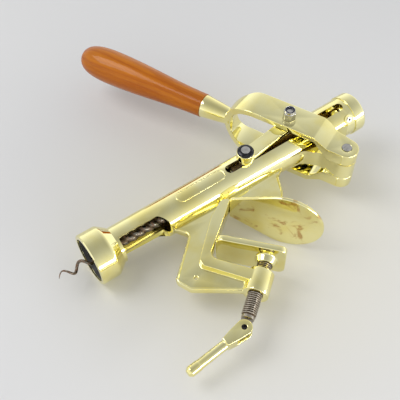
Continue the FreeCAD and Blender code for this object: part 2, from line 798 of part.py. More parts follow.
def make_lever_yoke():
    """The forked part of the lever: its side view and its plan, each extruded, then shared."""
    name = "lever_yoke"
    plan = new_body(name + "_plan")
    near, far = -S["arm_edge_far"], S["arm_edge_near"]
    shoulder = S["bend_centre"] + S["bend_shoulder"]
    stem_start = S["bend_centre"] + S["stem_start"]
    pad_of(plan, name + "_plan_pad", [
        (-0.5, -S["eye_radius"]),
        (S["step_end"] - 6.0, near),
        (shoulder, near),
        (stem_start, -S["stem_radius"]),
        (stem_start + 8.0, -S["stem_radius"]),
        (stem_start + 8.0, S["stem_radius"]),
        (stem_start, S["stem_radius"]),
        (shoulder, far),
        (S["step_end"] - 6.0, far),
        (-0.5, S["eye_radius"]),
    ], S["arm_outer"])
    corners = [(shoulder, near), (stem_start, -S["stem_radius"]),
               (stem_start, S["stem_radius"]), (shoulder, far)]
    round_edges(plan, name + "_plan_round", S["bend_round"], upright_at(*corners))
    plan.Placement = LEVER_FRAME
    eye = cylinder(name + "_eye", S["eye_radius"], S["arm_outer"] * 2, HINGE - Z * V["arm_outer"])
    both = fuse(name + "_plan_eye", plan, eye)

    side = new_body(name + "_side")
    sketch = sketch_on(side, "XZ_Plane", name + "_side_outline")
    draw_polygon(sketch, [
        (-S["eye_radius"] - 1.0, -S["eye_outer"]),
        (S["step_start"], -S["eye_outer"]),
        (S["step_end"], -S["arm_outer"]),
        (S["bend_centre"], -S["arm_outer"]),
        (S["bend_centre"], S["arm_outer"]),
        (S["step_end"], S["arm_outer"]),
        (S["step_start"], S["eye_outer"]),
        (-S["eye_radius"] - 1.0, S["eye_outer"]),
    ])
    wide = S["arm_edge_far"] * 4
    side_pad = side.newObject("PartDesign::Pad", name + "_side_pad")
    side_pad.Profile = sketch
    side_pad.SideType = "Symmetric"
    bind(side_pad, "Length", wide)
    side.Tip = side_pad
    side.Placement = LEVER_FRAME
    across = LEVER_FRAME.Rotation.multVec(Y)
    bend_at = LEVER_FRAME.multVec(Vector(V["bend_centre"], 0, 0))
    bend = cylinder(name + "_bend", S["arm_outer"], wide, bend_at - across * (wide.value / 2), across)
    solid = common(name + "_crossed", both, fuse(name + "_side_bend", side, bend))

    throat = new_body(name + "_throat")
    sketch = sketch_on(throat, "XZ_Plane", name + "_throat_outline")
    low = S["knuckle_half"] + S["loose_gap"] / 2
    draw_polygon(sketch, [
        (-S["eye_radius"] - 4.0, -low),
        (S["step_start"] - 1.0, -low),
        (S["step_end"] - 1.0, -S["arm_inner"]),
        (S["bend_centre"], -S["arm_inner"]),
        (S["bend_centre"], S["arm_inner"]),
        (S["step_end"] - 1.0, S["arm_inner"]),
        (S["step_start"] - 1.0, low),
        (-S["eye_radius"] - 4.0, low),
    ])
    throat_pad = throat.newObject("PartDesign::Pad", name + "_throat_pad")
    throat_pad.Profile = sketch
    throat_pad.SideType = "Symmetric"
    bind(throat_pad, "Length", wide * 2)
    throat.Tip = throat_pad
    throat.Placement = LEVER_FRAME
    hollow = cylinder(name + "_hollow", S["arm_inner"], wide * 2, bend_at - across * wide.value, across)
    forward = LEVER_FRAME.Rotation.multVec(X)
    stem_at = LEVER_FRAME.multVec(Vector(stem_start.value, 0, 0))
    stem = cone(name + "_stem", S["stem_radius"] * 1.08, S["ferrule_radius"],
                S["ferrule_reach"] - stem_start, stem_at, forward)
    socket_at = LEVER_FRAME.multVec(Vector(V["ferrule_reach"] - V["tang_socket"], 0, 0))
    socket = cylinder(name + "_socket", S["tang_radius"], S["tang_socket"] * 2, socket_at, forward)
    pin_hole = cylinder(name + "_pin_hole", S["hinge_pin_radius"] + S["running_gap"],
                        S["arm_outer"] * 4, HINGE - Z * V["arm_outer"] * 2)
    bolt_at = LEVER_FRAME.multVec(Vector(V["bolt_reach"], 0, 0))
    bolt_hole = cylinder(name + "_bolt_hole", S["bolt_radius"], S["arm_outer"] * 4,
                         bolt_at - Z * V["arm_outer"] * 2)
    forked = cut(name + "_forked", solid, throat, hollow)
    return cut(name, fuse(name + "_solid", forked, stem), socket, pin_hole, bolt_hole)


def make_wood_handle():
    """A turned grip with a swelling towards a rounded butt, bored for the tang."""
    start, end = V["ferrule_reach"], V["butt_reach"]
    length = end - start
    stations = [
        (0.0, V["ferrule_radius"] + 0.2),
        (0.13, V["ferrule_radius"] + 0.7),
        (0.42, V["wood_radius_mid"]),
        (0.72, V["wood_radius_max"]),
        (0.87, V["wood_radius_max"] * 0.93),
        (0.96, V["wood_radius_max"] * 0.66),
        (1.0, 0.0),
    ]
    points = [Vector(start + share * length, 0, radius) for share, radius in stations]
    curve = Part.BSplineCurve()
    curve.interpolate(points, InitialTangent=Vector(1, 0, 0.02), FinalTangent=Vector(0, 0, -1))
    side = curve.toShape()
    axis = Part.LineSegment(points[-1], Vector(start, 0, 0)).toShape()
    front = Part.LineSegment(Vector(start, 0, 0), points[0]).toShape()
    grip = Part.Face(Part.Wire([side, axis, front])).revolve(Vector(0, 0, 0), X, 360)
    bore_length = V["tang_length"] - V["tang_socket"] + 5.0
    bore = Part.makeCylinder(V["tang_radius"], bore_length, Vector(start, 0, 0), X)
    feature = doc.addObject("Part::Feature", "wood_handle")
    feature.Shape = grip.cut(bore)
    feature.Placement = LEVER_FRAME
    return feature


def make_handle_tang():
    forward = LEVER_FRAME.Rotation.multVec(X)
    start = LEVER_FRAME.multVec(Vector(V["ferrule_reach"] - V["tang_socket"], 0, 0))
    return cylinder("handle_tang", S["tang_radius"], S["tang_length"], start, forward)


def bolt_centre():
    return LEVER_FRAME.multVec(Vector(V["bolt_reach"], 0, 0))


def make_link_bolt(name):
    length = S["arm_outer"] - S["arm_inner"] + S["nut_height"] - S["insert_height"]
    return cylinder(name, S["bolt_radius"], length, bolt_centre() + Z * V["arm_inner"])


def make_lock_nut(name):
    low = bolt_centre() + Z * V["arm_outer"]
    nut = hexagon(name + "_hex", S["nut_flats"], S["nut_height"] - S["nut_collar"], low)
    collar = cylinder(name + "_collar", S["nut_flats"] / 2 - 0.3, S["nut_height"], low)
    bore = cylinder(name + "_bore", S["bolt_radius"], S["nut_height"] * 3, low - Z * V["nut_height"])
    seat = cylinder(name + "_seat", S["insert_radius"], S["insert_depth"] * 2,
                    low + Z * (V["nut_height"] - V["insert_depth"]))
    return cut(name, fuse(name + "_solid", nut, collar), bore, seat)


def make_nut_insert(name):
    low = bolt_centre() + Z * (V["arm_outer"] + V["nut_height"] - V["insert_depth"])
    ring = cylinder(name + "_ring", S["insert_radius"], S["insert_height"], low)
    bore = cylinder(name + "_bore", S["bolt_radius"], S["insert_height"] * 3,
                    low - Z * V["insert_height"])
    return cut(name, ring, bore)


# ---------------------------------------------------------------- links, carriage and worm

def make_link(name, side):
    """A flat bar with a tall boss over the cross pin and an open eye for the lever's bolt."""
    body = new_body(name + "_bar")
    sketch = sketch_on(body, "XY_Plane", name + "_outline")
    draw_polygon(sketch, [
        (0.0, -S["link_half_width"]),
        (S["link_length"], -S["link_half_width"]),
        (S["link_length"], S["link_half_width"]),
        (0.0, S["link_half_width"]),
    ])
    pad = body.newObject("PartDesign::Pad", name + "_pad")
    pad.Profile = sketch
    bind(pad, "Length", S["link_top"] - S["link_bottom"])
    body.Tip = pad
    low = Z * V["link_bottom"]
    body.Placement = LINK_FRAME.multiply(Placement(low, Rotation()))
    boss = cylinder(name + "_boss", S["link_eye_radius"], S["link_boss_top"] - S["link_bottom"],
                    PIN + low)
    far = LINK_FRAME.multVec(Vector(V["link_length"], 0, 0))
    eye = cylinder(name + "_eye", S["link_half_width"], S["link_top"] - S["link_bottom"], far + low)
    holes = [cylinder(name + "_pin_hole", S["pin_radius"] + S["running_gap"], S["pin_half"] * 2, PIN),
             cylinder(name + "_bolt_hole", S["bolt_radius"] + 0.3, S["pin_half"] * 2, far)]
    link = cut(name + "_cut", fuse(name + "_solid", body, boss, eye), *holes)
    if side > 0:
        return link
    return mirrored(name + "_mirror", link)


def make_carriage():
    """The slider inside the barrel, bored for the cross pin and the worm's shank."""
    name = "carriage"
    radius = S["barrel_bore"] - S["loose_gap"]
    slug = cylinder(name + "_slug", radius, S["carriage_front"] + S["carriage_back"],
                    PIN - X * V["carriage_front"], X)
    pin_hole = cylinder(name + "_pin_hole", S["pin_radius"], S["pin_half"] * 2,
                        PIN - Z * V["pin_half"])
    shank_hole = cylinder(name + "_shank_hole", S["shank_radius"] + S["running_gap"],
                          S["shank_reach"] * 2, PIN - X * (V["carriage_front"] + V["shank_reach"]), X)
    return cut(name, slug, pin_hole, shank_hole)


def make_cross_pin():
    return cylinder("cross_pin", S["pin_radius"], S["pin_half"] * 2, PIN - Z * V["pin_half"])


def make_pin_washer(name):
    low = PIN + Z * (V["link_boss_top"] + V["loose_gap"] / 2)
    ring = cylinder(name + "_ring", S["washer_radius"], S["washer_thick"], low)
    bore = cylinder(name + "_bore", S["pin_radius"], S["washer_thick"] * 3, low - Z * 2)
    return cut(name, ring, bore)


def make_worm():
    """A right-handed wire helix about the barrel's axis, with its sharp end out of the bell."""
    length = V["worm_back"] + V["worm_front"]
    helix = Part.makeHelix(V["worm_lead"], length, V["worm_helix_radius"])
    slope = math.atan2(V["worm_lead"], 2 * math.pi * V["worm_helix_radius"])
    start = Vector(V["worm_helix_radius"], 0, 0)
    heading = Vector(0, math.cos(slope), math.sin(slope))
    ring = Part.Wire(Part.makeCircle(V["worm_wire"], start, heading))
    coil = Part.Wire(helix.Edges).makePipeShell([ring], True, True)
    feature = doc.addObject("Part::Feature", "worm")
    feature.Shape = coil
    feature.Placement = Placement(Vector(-V["worm_front"], 0, 0), Rotation(Z, X))
    return feature


def make_worm_shank():
    """The long shaft behind the worm, which screws through the nut and turns in the carriage."""
    back = S["pin_place"] - S["carriage_front"]
    collar = S["shaft_radius"] + 2.9
    return turned("worm_shank", [
        (S["shaft_front"], 0.0),
        (S["shaft_front"], S["shaft_radius"] - 1.8),
        (S["shaft_front"] + 3.5, S["shaft_radius"]),
        (S["collar_place"], S["shaft_radius"]),
        (S["collar_place"] + 1.5, collar),
        (back - 1.5, collar),
        (back - 1.5, S["shank_radius"]),
        (back + S["shank_reach"] - S["loose_gap"], S["shank_radius"]),
        (back + S["shank_reach"] - S["loose_gap"], 0.0),
    ])


def make_thrust_washer():
    back = S["pin_place"] - S["carriage_front"]
    return turned("thrust_washer", [
        (back - 1.4, S["shank_radius"] + S["running_gap"]),
        (back - 1.4, S["barrel_bore"] - 2.0),
        (back, S["barrel_bore"] - 2.0),
        (back, S["shank_radius"] + S["running_gap"]),
    ])


# ---------------------------------------------------------------- build, check and write

PARTS = {
    "barrel": make_barrel(),
    "bell": make_bell(),
    "bell_liner": make_bell_liner(),
    "end_cap": make_end_cap(),
    "cap_screw": make_cap_screw(),
    "worm_nut": make_worm_nut(),
    "hinge_pin": make_hinge_pin(),
    "clamp_frame": make_clamp_frame(),
    "clamp_plate": make_clamp_plate(),
    "pressure_pad": make_pressure_pad(),
    "clamp_screw": make_clamp_screw(),
    "screw_lever": make_screw_lever(),
    "lever_pin": make_lever_pin(),
    "lever_yoke": make_lever_yoke(),
    "wood_handle": make_wood_handle(),
    "handle_tang": make_handle_tang(),
    "link_bolts": pair("link_bolts", make_link_bolt),
    "lock_nuts": pair("lock_nuts", make_lock_nut),
    "nut_inserts": pair("nut_inserts", make_nut_insert),
    "upper_link": make_link("upper_link", 1),
    "lower_link": make_link("lower_link", -1),
    "carriage": make_carriage(),
    "cross_pin": make_cross_pin(),
    "pin_washers": pair("pin_washers", make_pin_washer),
    "worm": make_worm(),
    "worm_shank": make_worm_shank(),
    "thrust_washer": make_thrust_washer(),
}


def check_and_write():
    doc.recompute()
    for thing in doc.Objects:
        bad = [word for word in thing.State if word in ("Invalid", "Error")]
        if bad:
            raise RuntimeError(f"{thing.Name} is {bad}")
    for node, thing in PARTS.items():
        thing.Label = node
        shape = thing.Shape
        if shape.isNull() or not shape.isValid() or not shape.Solids:
            raise RuntimeError(f"{node} has no valid solid")
    os.makedirs("parts", exist_ok=True)
    for node, thing in PARTS.items():
        thing.Shape.exportStep(f"parts/{node}.step")
        print(f"{node:16s} solids {len(thing.Shape.Solids)}  volume {thing.Shape.Volume:10.1f}")


check_and_write()
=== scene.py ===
import json
import math

import bmesh
import bpy
from mathutils import Matrix, Vector


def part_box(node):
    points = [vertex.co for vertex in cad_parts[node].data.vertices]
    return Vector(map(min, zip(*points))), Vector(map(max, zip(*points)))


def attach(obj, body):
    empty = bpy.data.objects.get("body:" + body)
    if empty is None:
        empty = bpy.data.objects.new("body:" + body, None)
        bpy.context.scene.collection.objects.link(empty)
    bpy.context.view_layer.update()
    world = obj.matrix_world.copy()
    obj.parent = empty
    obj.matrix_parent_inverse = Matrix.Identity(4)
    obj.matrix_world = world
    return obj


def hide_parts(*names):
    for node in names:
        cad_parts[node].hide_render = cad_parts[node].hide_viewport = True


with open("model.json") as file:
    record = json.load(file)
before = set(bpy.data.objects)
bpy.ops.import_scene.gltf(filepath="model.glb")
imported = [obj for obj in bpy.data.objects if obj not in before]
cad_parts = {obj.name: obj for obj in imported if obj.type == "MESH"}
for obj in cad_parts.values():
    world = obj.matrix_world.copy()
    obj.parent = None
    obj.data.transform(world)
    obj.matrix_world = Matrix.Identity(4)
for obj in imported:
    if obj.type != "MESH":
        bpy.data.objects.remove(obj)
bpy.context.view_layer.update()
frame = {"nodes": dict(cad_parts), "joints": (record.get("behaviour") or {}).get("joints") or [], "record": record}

# The looks of a clamp-on lever corkscrew.  Everything is in metres, in the frame of the CAD model:
# +X along the barrel from the bell to the cap, +Y towards the lever's handle, +Z up.

MM = 0.001
NODES = frame["nodes"]
JOINTS = {joint["name"]: joint for joint in frame["joints"]}
BODY_OF = {node: body for body, nodes in frame["record"]["behaviour"]["bodies"].items()
           for node in nodes}
SLOT_OF = {part["node"]: part["material_slot"] for part in frame["record"]["subparts"]}


# ---------------------------------------------------------------- measuring the frame

def corners(node):
    return [vertex.co.copy() for vertex in NODES[node].data.vertices]


def mean(points):
    return sum(points, Vector()) / len(points)


def lowest_point(node):
    """The middle of the stretch along which a node is lowest."""
    stretch_height = 0.05 * MM
    points = corners(node)
    low = min(point.z for point in points)
    return mean([point for point in points if point.z < low + stretch_height])


def end_centres(node, near):
    """The centres of the two ends of a straight round bar, the one nearer to a point first."""
    points = sorted(corners(node), key=lambda point: (point - near).length)
    half = len(points) // 2
    return mean(points[:half]), mean(points[half:])


# ---------------------------------------------------------------- material nodes

class Shader:
    """A material under construction: a Principled shader and short ways to wire nodes to it."""

    def __init__(self, name, **sockets):
        self.material = bpy.data.materials.new(name)
        self.material.use_nodes = True
        self.tree = self.material.node_tree
        self.shader = self.tree.nodes["Principled BSDF"]
        for socket, value in sockets.items():
            self.shader.inputs[socket.replace("_", " ")].default_value = value
        self.place = self.node("ShaderNodeTexCoord").outputs["Object"]
        self.relief = None

    def node(self, kind, **settings):
        node = self.tree.nodes.new(kind)
        for key, value in settings.items():
            setattr(node, key, value)
        return node

    def link(self, source, target):
        """Wire an output to a socket, or set the socket to a plain value."""
        if hasattr(source, "is_linked"):
            self.tree.links.new(source, target)
        else:
            target.default_value = source

    def stretched(self, stretch, turn=(0, 0, 0)):
        """Texture places turned to a direction, then scaled along each turned axis."""
        mapping = self.node("ShaderNodeMapping", vector_type="TEXTURE")
        self.link(self.place, mapping.inputs["Vector"])
        mapping.inputs["Rotation"].default_value = turn
        mapping.inputs["Scale"].default_value = tuple(1.0 / share for share in stretch)
        return mapping.outputs["Vector"]

    def noise(self, scale, detail=2.0, rough=0.5, where=None, twist=0.0):
        node = self.node("ShaderNodeTexNoise")
        self.link(where or self.place, node.inputs["Vector"])
        node.inputs["Scale"].default_value = scale
        node.inputs["Detail"].default_value = detail
        node.inputs["Roughness"].default_value = rough
        node.inputs["Distortion"].default_value = twist
        return node.outputs["Fac"]

    def math(self, operation, first, second=0.0):
        node = self.node("ShaderNodeMath", operation=operation)
        for value, socket in zip((first, second), node.inputs):
            self.link(value, socket)
        return node.outputs[0]

    def ramp(self, value, low, high, from_value=0.0, to_value=1.0):
        """Map value from low..high to from_value..to_value, smoothly and clamped."""
        node = self.node("ShaderNodeMapRange", interpolation_type="SMOOTHSTEP")
        for socket, number in zip(node.inputs, (value, low, high, from_value, to_value)):
            self.link(number, socket)
        return node.outputs[0]

    def mix(self, share, first, second):
        node = self.node("ShaderNodeMix", data_type="RGBA")
        self.link(share, node.inputs["Factor"])
        for colour, socket in ((first, node.inputs[6]), (second, node.inputs[7])):
            self.link((*colour, 1.0) if isinstance(colour, tuple) else colour, socket)
        return node.outputs[2]

    def set(self, socket, value):
        self.link(value, self.shader.inputs[socket])

    def bump(self, height, depth, strength):
        """Add relief of a real depth in metres, over any relief already there."""
        node = self.node("ShaderNodeBump")
        node.inputs["Strength"].default_value = strength
        node.inputs["Distance"].default_value = depth
        self.link(height, node.inputs["Height"])
        if self.relief is not None:
            self.link(self.relief, node.inputs["Normal"])
        self.relief = node.outputs["Normal"]
        self.link(self.relief, self.shader.inputs["Normal"])


PALE_BRASS = (0.95, 0.90, 0.49)
RICH_BRASS = (0.92, 0.82, 0.32)
TARNISH = (0.50, 0.24, 0.06)
BORE_OUTSIDE, BORE_INSIDE = 13.4 * MM, 12.7 * MM
# Where the painted shade in the bore stays light, by the window, and from where on it is full.
BORE_SHADE_LIGHT_TO, BORE_SHADE_FULL_FROM = 62.0 * MM, 78.0 * MM


def brass(name, spots=0.0, bore=False, matt=0.0):
    """Lacquered polished brass: slow waves in the polish, hairline scratches, a few tarnish spots."""
    look = Shader(name, Metallic=1.0)
    colour = look.mix(look.ramp(look.noise(34.0, 3.0), 0.38, 0.75), PALE_BRASS, RICH_BRASS)
    speck = look.ramp(look.noise(520.0, 4.0, 0.7), 0.70, 0.78)
    colour = look.mix(look.math("MULTIPLY", speck, 0.7), colour, TARNISH)
    stain = look.ramp(look.noise(60.0, 5.0, 0.62, twist=0.6), 0.70 - spots, 0.80 - spots)
    colour = look.mix(look.math("MULTIPLY", stain, 0.75), colour, TARNISH)
    rough = look.ramp(look.noise(210.0, 4.0, 0.6), 0.35, 0.75, 0.035 + matt, 0.11 + matt)
    rough = look.math("ADD", rough, look.math("MULTIPLY", stain, 0.16))
    scratch = look.noise(900.0, 2.0, where=look.stretched((0.12, 1.0, 1.0), (0.0, 0.0, 0.6)))
    hairline = look.ramp(scratch, 0.62, 0.72)
    rough = look.math("ADD", rough, look.math("MULTIPLY", hairline, 0.05))
    # In the barrel's bore, painted shade.
    if bore:
        colour, rough = inside_of_barrel(look, colour, rough)
    look.set("Base Color", colour)
    look.set("Roughness", rough)
    look.bump(look.noise(26.0, 1.5), 0.00022, 0.35)
    look.bump(scratch, 0.000004, 0.35)
    look.bump(look.noise(420.0, 3.0, 0.6), 0.000008, 0.3)
    return look.material


def inside_of_barrel(look, colour, rough):
    """Painted shade in the bore, within the barrel's inner radius: the brass only a little darkened by the window,
    where light comes in, and a mottled dark brown, rougher, behind it.
    """
    split = look.node("ShaderNodeSeparateXYZ")
    look.link(look.place, split.inputs[0])
    along, aside, up = split.outputs
    across = look.math("SQRT", look.math("ADD", look.math("MULTIPLY", aside, aside),
                                         look.math("MULTIPLY", up, up)))
    inner = look.ramp(across, BORE_OUTSIDE, BORE_INSIDE)
    # Painted shade, at a quarter strength by the window and full behind it.
    inner = look.math("MULTIPLY", inner, look.ramp(along, BORE_SHADE_LIGHT_TO, BORE_SHADE_FULL_FROM, 0.25, 1.0))
    # The painted shade's colour: a mottled dark brown.
    bore_shade_colour = look.mix(look.noise(240.0, 5.0, 0.65), (0.10, 0.055, 0.012), (0.42, 0.27, 0.06))
    return look.mix(inner, colour, bore_shade_colour), look.math("ADD", rough, look.math("MULTIPLY", inner, 0.28))


def steel(name, tint=(0.60, 0.59, 0.56), relief=1.0):
    """Nickel-plated steel with fine machining marks and a dull film."""
    look = Shader(name, Metallic=1.0)
    film = look.noise(320.0, 4.0, 0.6)
    dark = tuple(channel * 0.62 for channel in tint)
    look.set("Base Color", look.mix(look.ramp(film, 0.35, 0.75), tint, dark))
    look.set("Roughness", look.ramp(film, 0.3, 0.8, 0.16, 0.36))
    marks = look.noise(1500.0, 2.0, where=look.stretched((1.0, 1.0, 0.08)))
    look.bump(marks, 0.000006 * relief, 0.4)
    look.bump(look.noise(520.0, 3.0), 0.00001 * relief, 0.3)
    return look.material


def blackened(name):
    """Oil-blacked spring steel, glossy, with faint grey rubs."""
    look = Shader(name, Metallic=1.0)
    rub = look.noise(420.0, 4.0, 0.65)
    look.set("Base Color", look.mix(look.ramp(rub, 0.5, 0.8), (0.040, 0.040, 0.044), (0.16, 0.155, 0.15)))
    look.set("Roughness", look.ramp(rub, 0.3, 0.8, 0.14, 0.34))
    look.bump(look.noise(800.0, 3.0), 0.00001, 0.4)
    return look.material


def shade_dark_steel(name):
    """Nearly black steel with a brown mottle: painted shade for the carriage deep inside the barrel and for the
    bottoms of thread grooves.
    """
    look = Shader(name, Metallic=0.8)
    film = look.noise(260.0, 5.0, 0.65)
    look.set("Base Color", look.mix(film, (0.035, 0.022, 0.012), (0.16, 0.11, 0.06)))
    look.set("Roughness", look.ramp(film, 0.3, 0.7, 0.35, 0.6))
    look.bump(look.noise(900.0, 3.0), 0.00003, 0.5)
    return look.material


def rusty_steel(name, bright_share=0.0):
    """Bare steel, bright where it is rubbed and crusted brown elsewhere."""
    look = Shader(name)
    rust = look.ramp(look.noise(330.0, 6.0, 0.7), 0.42 + bright_share, 0.62 + bright_share)
    bright = look.mix(look.noise(700.0, 2.0), (0.30, 0.28, 0.23), (0.13, 0.12, 0.09))
    brown = look.mix(look.noise(900.0, 4.0), (0.075, 0.030, 0.012), (0.24, 0.10, 0.035))
    look.set("Base Color", look.mix(rust, bright, brown))
    look.set("Metallic", look.ramp(rust, 0.2, 0.8, 1.0, 0.05))
    look.set("Roughness", look.ramp(rust, 0.0, 1.0, 0.26, 0.82))
    look.bump(look.noise(1100.0, 5.0, 0.65), 0.00009, 0.7)
    return look.material


def varnished_wood(name, along):
    """Stained close-grained wood under a thick clear varnish; the grain follows the grip."""
    look = Shader(name, Coat_Weight=0.55, Coat_Roughness=0.09, Coat_IOR=1.42, Specular_IOR_Level=0.1)
    turn = along.to_track_quat("X", "Z").to_euler()
    grain = look.stretched((0.05, 1.0, 1.0), tuple(turn))
    streak = look.noise(310.0, 5.0, 0.62, where=grain, twist=0.5)
    broad = look.noise(70.0, 3.0, where=grain, twist=1.2)
    fibre = look.noise(1400.0, 3.0, 0.7, where=grain)
    colour = look.mix(look.ramp(broad, 0.3, 0.72), (0.52, 0.165, 0.001), (0.36, 0.085, 0.0005))
    colour = look.mix(look.ramp(streak, 0.42, 0.70, 0.0, 0.38), colour, (0.25, 0.045, 0.001))
    colour = look.mix(look.ramp(fibre, 0.55, 0.75, 0.0, 0.35), colour, (0.66, 0.25, 0.008))
    look.set("Base Color", colour)
    look.set("Roughness", look.ramp(streak, 0.3, 0.7, 0.32, 0.55))
    look.bump(look.noise(18.0, 1.0), 0.0003, 0.25)
    look.bump(fibre, 0.00002, 0.35)
    return look.material


def moulded(name, dark, light, rough=(0.35, 0.6)):
    """Black rubber or nylon with a fine moulded grain and dusty patches."""
    look = Shader(name, Specular_IOR_Level=0.4)
    dust = look.noise(150.0, 4.0, 0.65)
    look.set("Base Color", look.mix(look.ramp(dust, 0.4, 0.75), dark, light))
    look.set("Roughness", look.ramp(dust, 0.3, 0.8, *rough))
    look.bump(look.noise(900.0, 3.0), 0.00003, 0.5)
    return look.material


def floor_material():
    """Matt pale grey, with a painted warm glow around the middle of the floor that stands in for the light the
    brass throws onto it.
    """
    look = Shader("studio_floor", Specular_IOR_Level=0.25)
    near = look.node("ShaderNodeVectorMath", operation="LENGTH")
    look.link(look.place, near.inputs[0])
    away = look.ramp(near.outputs["Value"], 0.06, 0.26)
    tone = look.mix(look.noise(1.6, 2.0), (0.665, 0.665, 0.665), (0.690, 0.690, 0.690))
    # Painted warm glow near the floor's middle, standing in for the light the brass throws onto it.
    look.set("Base Color", look.mix(away, (0.705, 0.690, 0.635), tone))
    look.set("Roughness", look.ramp(look.noise(90.0, 3.0), 0.3, 0.7, 0.62, 0.75))
    look.bump(look.noise(700.0, 2.0), 0.00002, 0.2)
    return look.material


# ---------------------------------------------------------------- pieces

def add_piece(name, mesh, material, body, replaced=()):
    piece = bpy.data.objects.new(name, mesh)
    bpy.context.scene.collection.objects.link(piece)
    mesh.materials.clear()
    mesh.materials.append(material)
    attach(piece, body)
    if replaced:
        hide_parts(*replaced)
    return piece


def turns_of(count):
    """Evenly spaced turns once round, in radians."""
    return [2 * math.pi * i / count for i in range(count)]


def off_barrel_axis(point):
    """The direction straight away from the barrel's axis at a point."""
    return Vector((0.0, point.y, point.z)).normalized()


class Axis:
    """A straight line through the model, with a direction to measure turns from."""

    def __init__(self, origin, along, aside=(0.0, 0.0, 1.0)):
        self.origin = Vector(origin)
        self.along = Vector(along).normalized()
        self.aside = (Vector(aside) - self.along * Vector(aside).dot(self.along)).normalized()
        self.across = self.along.cross(self.aside)

    def point(self, place, radius=0.0, turn=0.0):
        ray = self.aside * math.cos(turn) + self.across * math.sin(turn)
        return self.origin + self.along * place + ray * radius

    def measure(self, point):
        """How far along the axis a point lies, and how far from it."""
        offset = point - self.origin
        place = offset.dot(self.along)
        return place, (offset - self.along * place).length

    def reach(self, node):
        """How far along the axis a node reaches, and its greatest radius about it."""
        places, radii = zip(*(self.measure(point) for point in corners(node)))
        return min(places), max(places), max(radii)


def skin_rings(work, rings, closed=False):
    """Join equal rings of points into a skin; an open skin gets a flat end at each side."""
    rows = [[work.verts.new(point) for point in ring] for ring in rings]
    count = len(rows[0])
    pairs = list(zip(rows, rows[1:] + rows[:1])) if closed else list(zip(rows, rows[1:]))
    for first, second in pairs:
        for i in range(count):
            j = (i + 1) % count
            work.faces.new((first[i], second[i], second[j], first[j]))
    if not closed:
        work.faces.new(rows[0])
        work.faces.new(list(reversed(rows[-1])))


def smooth(mesh, angle):
    """Shade a mesh smooth, but keep the edges that turn by more than an angle sharp."""
    mesh.shade_smooth()
    mesh.set_sharp_from_angle(angle=math.radians(angle))


def finished_mesh(name, work, angle):
    """Turn the working mesh into a mesh with its faces outward and its sharp edges kept."""
    bmesh.ops.recalc_face_normals(work, faces=work.faces)
    mesh = bpy.data.meshes.new(name)
    work.to_mesh(mesh)
    work.free()
    smooth(mesh, angle)
    return mesh


def turned(work, axis, profile, segments=72, closed=False):
    """A solid of revolution from (place, radius) points; radii stay above zero."""
    rings = [[axis.point(place, radius, turn) for turn in turns_of(segments)] for place, radius in profile]
    skin_rings(work, rings, closed)


def threaded(work, axis, start, end, lead, root, crest, starts=1, sharp=1.0, rows=8, segments=48):
    """A screw thread on a round bar; each row of points lies square to the axis."""
    step = lead / starts / rows
    count = round((end - start) / step)
    rings = []
    for row in range(count + 1):
        place = start + (end - start) * row / count
        fade = min(1.0, min(place - start, end - place) / (lead / starts) * 1.2)
        ring = []
        for turn in turns_of(segments):
            phase = (place / lead - turn / (2 * math.pi)) * starts % 1.0
            ridge = (1.0 - abs(2.0 * phase - 1.0)) ** sharp
            ring.append(axis.point(place, root + (crest - root) * ridge * max(fade, 0.0), turn))
        rings.append(ring)
    skin_rings(work, rings)


def swept(work, path, section, upward, closed=False):
    """A bar along a path; section gives (aside, up) offsets at each share of the path."""
    rings = []
    count = len(path)
    for i, point in enumerate(path):
        before = path[(i - 1) % count] if closed or i else point
        after = path[(i + 1) % count] if closed or i < count - 1 else point
        ahead = (after - before).normalized()
        up = upward(point)
        aside = ahead.cross(up).normalized()
        up = aside.cross(ahead).normalized()
        rings.append([point + aside * x + up * y for x, y in section(i / (count - 1))])
    skin_rings(work, rings, closed)


def darken_grooves(piece, axis, start, end, level, material):
    """Give the faces of a thread that lie nearer to its axis than a radius their own material, for painted shade
    in the grooves.
    """
    piece.data.materials.append(material)
    for face in piece.data.polygons:
        place, radius = axis.measure(face.center)
        if start < place < end and radius < level:
            face.material_index = 1


def oval(half_wide, half_high, count=14):
    return [(half_wide * math.cos(turn), half_high * math.sin(turn)) for turn in turns_of(count)]


SAME_POINT = 0.002 * MM
SLIVER = 0.001 * MM
FLAT_ANGLE = math.radians(0.4)
SHARP_ANGLE = math.radians(28.0)


def finished_edges(node, width, material):
    """A node's own shape with its sharp edges broken to a small radius, as finishing leaves them."""
    mesh = NODES[node].data.copy()
    mesh.name = node + "_finished"
    if mesh.has_custom_normals:     # they belong to the corners before the edges are broken
        free = bpy.data.objects.new("free", mesh)
        bpy.context.scene.collection.objects.link(free)
        bpy.context.view_layer.objects.active = free
        bpy.ops.mesh.customdata_custom_splitnormals_clear()
        bpy.data.objects.remove(free)
    work = bmesh.new()
    work.from_mesh(mesh)
    bmesh.ops.remove_doubles(work, verts=work.verts, dist=SAME_POINT)
    bmesh.ops.dissolve_limit(work, angle_limit=FLAT_ANGLE, verts=work.verts, edges=work.edges)
    sharp = [edge for edge in work.edges
             if len(edge.link_faces) == 2 and edge.calc_face_angle() > SHARP_ANGLE]
    bmesh.ops.bevel(work, geom=sharp, offset=width, offset_type="OFFSET", segments=3,
                    profile=0.5, affect="EDGES", clamp_overlap=False)
    bmesh.ops.dissolve_degenerate(work, dist=SLIVER, edges=work.edges)
    bmesh.ops.triangulate(work, faces=[face for face in work.faces if len(face.verts) > 4])
    work.to_mesh(mesh)
    work.free()
    smooth(mesh, 32.0)
    add_piece(node + "_finish", mesh, material, BODY_OF[node], [node])


# ---------------------------------------------------------------- detailed pieces

